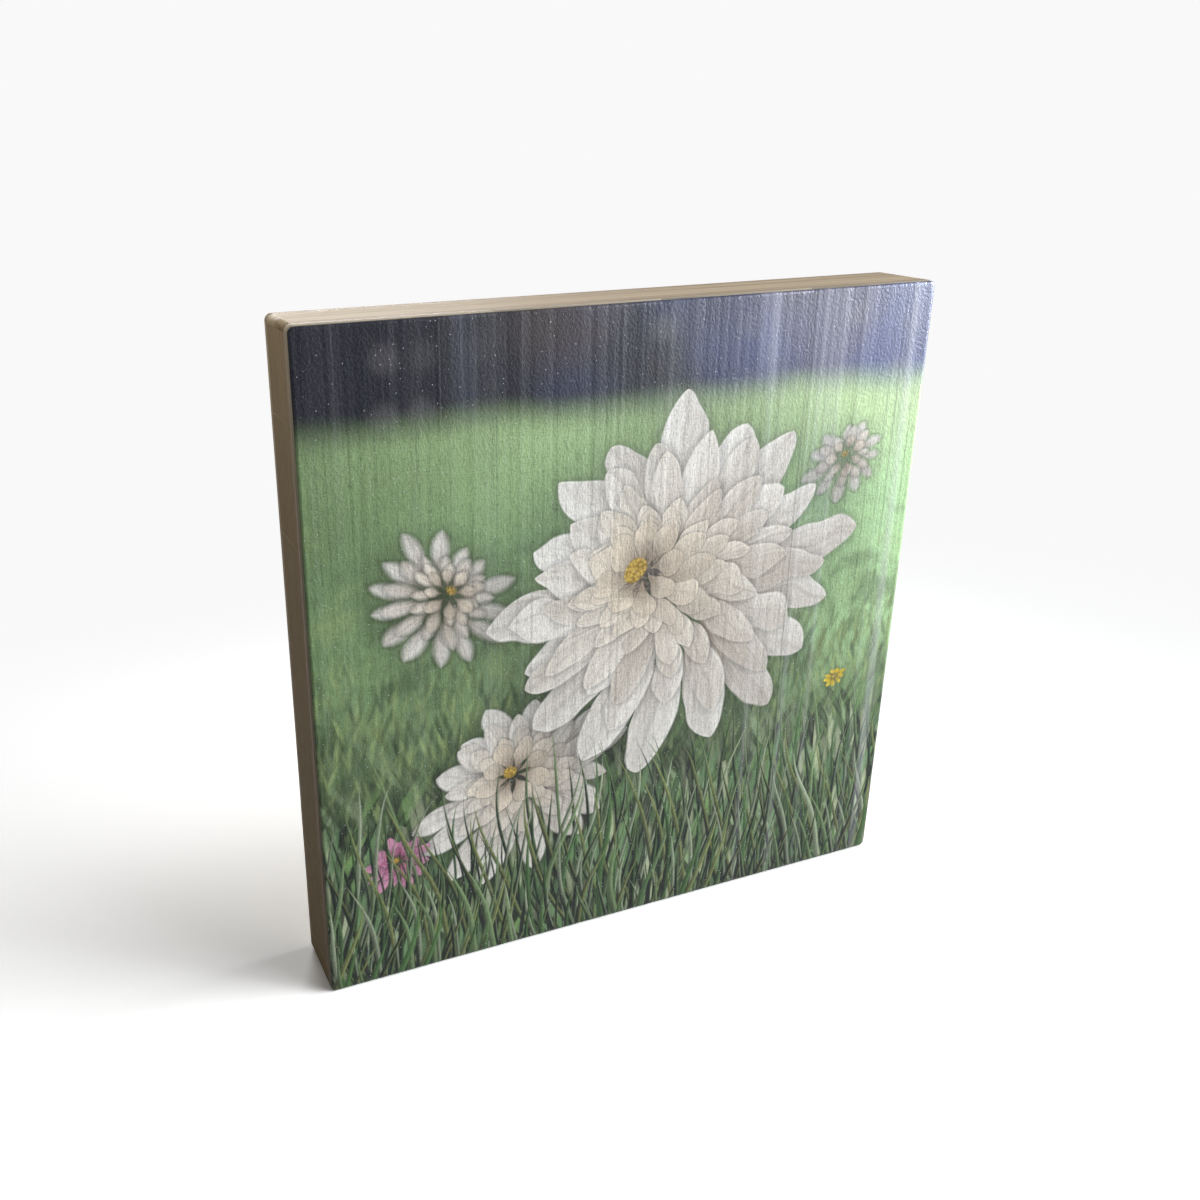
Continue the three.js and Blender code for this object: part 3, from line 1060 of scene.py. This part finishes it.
@dataclass
class Studio:
    """A pale floor, a pale surround, soft lamps and the photograph's camera. Lengths are in metres.

    White is how bright the floor looks on its left and right, and fall is where along X it changes. The floor
    passes into the surround along fade behind the block, and along rim all round. Ambient and bounce are the
    light that the surround and the floor give back.
    """

    floor_size: float = 12.0
    white: Pair = (1.34, 0.72)
    fall: Pair = (-0.08, 0.34)
    surround: float = 0.947
    ambient: float = 0.06
    bounce: float = 0.078
    fade: Pair = (0.04, 0.24)
    rim: Pair = (0.16, 0.36)
    camera_place: Triple = (-0.12762, -0.22692, 0.18668)
    camera_angles: Triple = (68.424, 0.534, -22.615)
    lens: float = 35.526
    shift: Pair = (0.0993, -0.0065)
    closest: float = 0.01
    daylight: Colour = (0.97, 0.985, 1.0)
    warm: Colour = (1.0, 0.95, 0.86)
    cool: Colour = (0.84, 0.9, 1.0)

    def lamps(self) -> List[Softbox]:
        """Lists the lamps."""
        return [
            Softbox("window", 72.0, 18.5, 1.3, (1.1, 0.5), power=28.0, colour=self.daylight),
            Softbox("fill", 42.0, 2.0, 0.8, (0.3, 0.2), power=2.5, colour=self.daylight),
            Softbox("over", 50.0, 65.0, 1.3, (0.5, 0.5), power=4.4),
            Softbox("rear", 170.0, 12.0, 1.3, (0.5, 0.5), power=12.0),
            Softbox("side", -91.0, 42.0, 0.2, (0.06, 0.06), power=0.045, colour=self.warm),
            Softbox("glint", 65.0, 9.0, 1.1, (0.4, 0.4), power=84.0, colour=self.cool, glint=True),
        ]

    @staticmethod
    def grey(level: float) -> Colour:
        """A grey of that level."""
        return (level, level, level)

    @staticmethod
    def seen(g: Graph) -> Signal:
        """Is 1 where a camera, a reflection or a clear body looks, and 0 for light that falls on things."""
        path = g.node("ShaderNodeLightPath", {})
        rays = [Signal(g, path.outputs[f"Is {kind} Ray"]) for kind in ("Camera", "Glossy", "Transmission")]
        return rays[0].most(rays[1]).most(rays[2])

    def sky(self) -> None:
        """Makes a surround that looks nearly white and lights the block only a little."""
        world = bpy.data.worlds.new("surround")
        g = Graph.start(world)
        colour = g.mix(self.grey(self.ambient), self.grey(self.surround), self.seen(g))
        g.node("ShaderNodeOutputWorld", {"Surface": g.add("ShaderNodeBackground", {"Color": colour})})
        bpy.context.scene.world = world

    def floor(self) -> None:
        """Makes a floor that shows white with the block's shadow, and passes into the surround."""
        deselect()
        bpy.ops.mesh.primitive_plane_add(size=self.floor_size)
        floor = bpy.context.object
        floor.name = "floor"
        material = bpy.data.materials.new("floor_white")
        g = Graph.start(material)
        seen = self.seen(g)
        x, y, _ = g.split("Object")
        away = y.step(*self.fade).most(g.math("SQRT", x * x + y * y).step(*self.rim))
        shown = g.mix(self.grey(self.white[0]), self.grey(self.white[1]), x.step(*self.fall))
        paper = g.add("ShaderNodeBsdfDiffuse", {"Color": g.mix(self.grey(self.bounce), shown, seen)})
        glow = g.add("ShaderNodeEmission", {"Color": self.grey(self.surround)})
        both = g.add("ShaderNodeMixShader", {0: seen * away, 1: paper, 2: glow})
        g.node("ShaderNodeOutputMaterial", {"Surface": both})
        floor.data.materials.append(material)

    def camera(self) -> None:
        """Sets the camera where the photograph was taken from."""
        data = bpy.data.cameras.new("camera")
        data.lens = self.lens
        data.shift_x, data.shift_y = self.shift
        data.clip_start = self.closest
        camera = bpy.data.objects.new("camera", data)
        camera.location = self.camera_place
        camera.rotation_euler = [math.radians(angle) for angle in self.camera_angles]
        bpy.context.scene.collection.objects.link(camera)
        bpy.context.scene.camera = camera

    def build(self) -> None:
        """Sets everything up round the block."""
        low, high = CAD_BOX
        for lamp in self.lamps():
            lamp.build((low + high) / 2)
        self.sky()
        self.floor()
        self.camera()
        bpy.context.scene.view_settings.view_transform = "Standard"


@dataclass
class PhotoBlock:
    """The whole block, from its print to its back."""

    rounding: Rounding

    def parts(self) -> List[SubAssembly]:
        """Works out every layer from the frame, front to back."""
        low, high = CAD_BOX
        front_leaves, back_leaves = nodes_named("front_veneer"), nodes_named("back_veneer")
        strips, glue_lines = nodes_named("core_strip"), ("front_glue_line", "back_glue_line")
        wood = whole(front_leaves)[0].y
        ink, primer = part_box("clear_topcoat")[0].y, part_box("white_base_coat")[0].y
        glue = tuple((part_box(node)[0].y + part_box(node)[1].y) / 2 for node in glue_lines)
        splices, cuts, back_splices = joints(front_leaves, 0), joints(strips, 2), joints(back_leaves, 0)
        leaf, strip = splices[1] - splices[0], cuts[1] - cuts[0]
        front_wood = Wood(
            name="front_veneer", grain=Grain.UPRIGHT, pale=srgb(186, 174, 154), dark=srgb(150, 137, 117),
            end=srgb(172, 161, 142), streak=srgb(142, 128, 108), first=splices[0], pitch=leaf, seed=3.0,
            rings=2.4 * MM, heart=(60 * MM, 40 * MM), glue=glue,
        )
        core_wood = Wood(
            name="core_wood", grain=Grain.ACROSS, pale=srgb(184, 167, 141), dark=srgb(136, 117, 91),
            end=srgb(132, 113, 82), streak=srgb(134, 112, 90), first=cuts[0], pitch=strip, seed=11.0,
            rings=3.1 * MM, heart=(34 * MM, 30 * MM), glue=glue,
        )
        back_wood = Wood(
            name="back_veneer", grain=Grain.UPRIGHT, pale=srgb(198, 181, 154), dark=srgb(152, 131, 103),
            end=srgb(158, 140, 114), streak=srgb(142, 118, 92), first=back_splices[0], pitch=leaf, seed=23.0,
            rings=2.8 * MM, heart=(26 * MM, 9 * MM), glue=glue,
        )
        picture = Print("printed_film", high.x - low.x, high.z, splices, edge=0.28 * MM)
        ground = Primer("ground_coat", coat=srgb(168, 160, 144), rubbed=srgb(140, 128, 108))
        dark_glue = Glue("front_glue", dark=srgb(84, 62, 44), dusty=srgb(150, 124, 96))
        pale_glue = Glue("back_glue", dark=srgb(110, 86, 62), dusty=srgb(168, 142, 112))
        rounding = self.rounding
        return [
            Film(("clear_topcoat", "printed_picture"), "printed_film", "ink", picture, rounding,
                 front=ink, back=primer, wood=wood, wrap=40.0, splices=splices),
            Film(("white_base_coat",), "ground_coat", "base_coat", ground, rounding,
                 front=primer, back=wood, wood=wood, wrap=50.0, splices=splices),
            Layer(front_leaves, "front_leaf", "front_veneer", front_wood, rounding,
                  eased=wood, ease=rounding.front),
            Layer(glue_lines[:1], "front_glue", "glue", dark_glue, rounding),
            Layer(strips, "core", "core_wood", core_wood, rounding, axis=2),
            Layer(glue_lines[1:], "back_glue", "glue", pale_glue, rounding),
            Layer(back_leaves, "back_leaf", "back_veneer", back_wood, rounding,
                  eased=high.y, ease=rounding.back),
        ]

    def build(self) -> None:
        """Builds the layers in order."""
        for part in self.parts():
            part.build()


def main() -> None:
    """Builds the studio and the block."""
    logging.basicConfig(level=logging.INFO, format="%(name)s: %(message)s")
    Studio().build()
    PhotoBlock(Rounding()).build()


if __name__ == "__main__":
    main()
